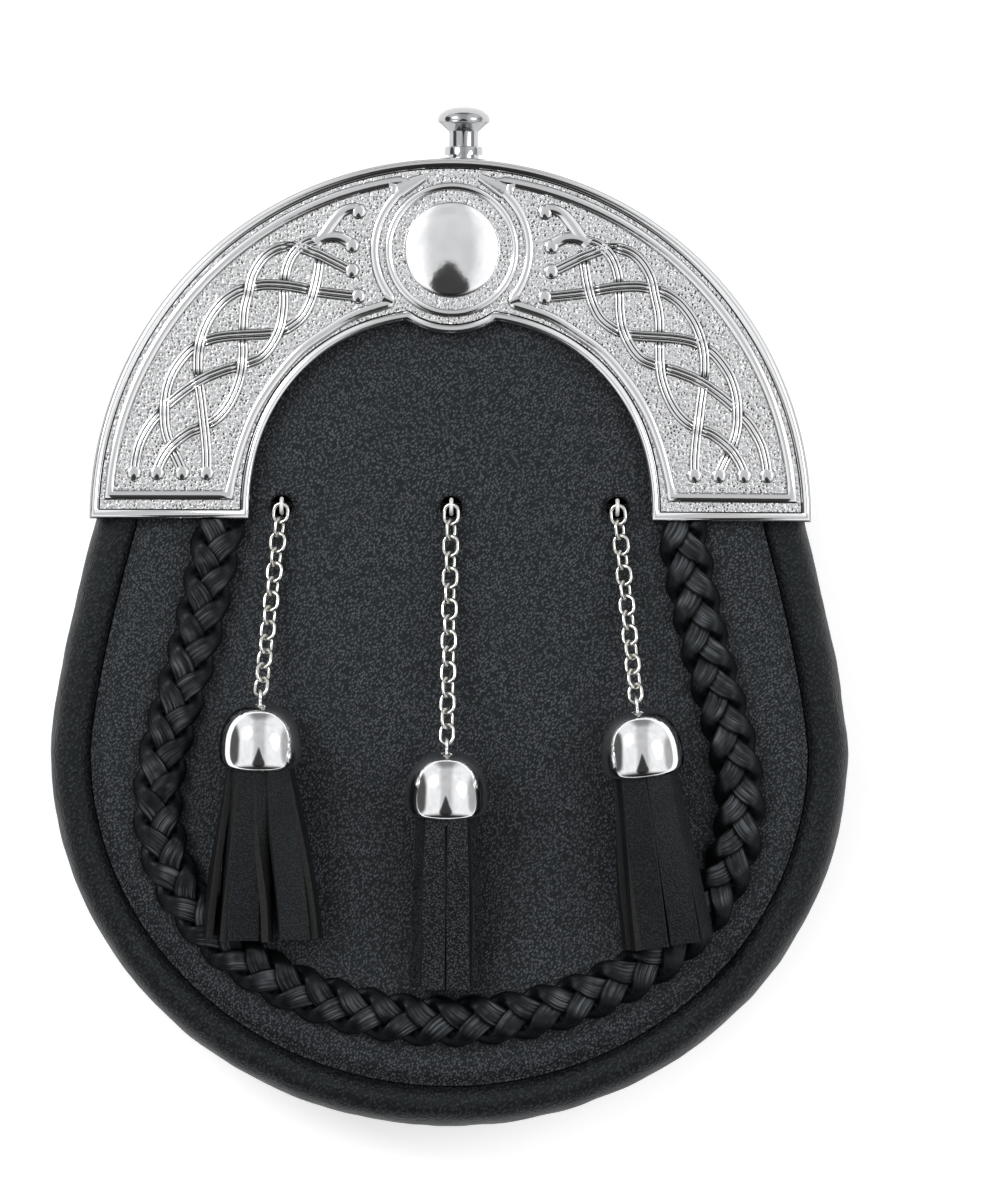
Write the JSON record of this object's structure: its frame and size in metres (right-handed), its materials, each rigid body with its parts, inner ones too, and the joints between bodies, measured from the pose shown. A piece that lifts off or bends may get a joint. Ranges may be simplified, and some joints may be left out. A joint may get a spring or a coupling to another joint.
{
  "type": "sporran pouch",
  "caption": "Hollow leather pouch with a cast semicircular metal cantle, a press knob, a plaited band and leather tassels on chains.",
  "frame": {"origin": "on the back panel's outer face, on the centre line, level with the cantle's straight lower edges", "axes": "+Z out of the pouch's front, +Y towards the knob, +X to the right of someone facing the front"},
  "size_m": [0.1788, 0.2286, 0.0516],
  "materials": {
    "back_leather": "smooth, matt",
    "gusset_leather": "wrinkled grain",
    "front_leather": "pebble grain",
    "band_leather": "plaited, satin",
    "cantle_chrome": "bright, stippled",
    "knob_chrome": "bright",
    "tab_steel": "brushed",
    "chain_chrome": "bright",
    "cap_chrome": "mirror",
    "tassel_leather": "matt grain"
  },
  "bodies": {
    "pouch": {"back_panel": "back_leather", "gusset": "gusset_leather", "front_panel": "front_leather", "plaited_band": "band_leather", "cantle": "cantle_chrome", "knob_collar": "knob_chrome", "strap_tab_left": "tab_steel", "strap_tab_right": "tab_steel", "chain_left": "chain_chrome", "chain_middle": "chain_chrome", "chain_right": "chain_chrome", "tassel_cap_left": "cap_chrome", "tassel_cap_middle": "cap_chrome", "tassel_cap_right": "cap_chrome", "tassel_left": "tassel_leather", "tassel_middle": "tassel_leather", "tassel_right": "tassel_leather"},
    "knob_body": {"knob": "knob_chrome"}
  },
  "joints": [
    {"name": "knob_press", "type": "slide", "parent": "pouch", "child": "knob_body", "axis": [0, -1, 0], "range_m": [0, 0.003], "stiffness_N_per_m": 400, "springref_m": -0.002}
  ]
}
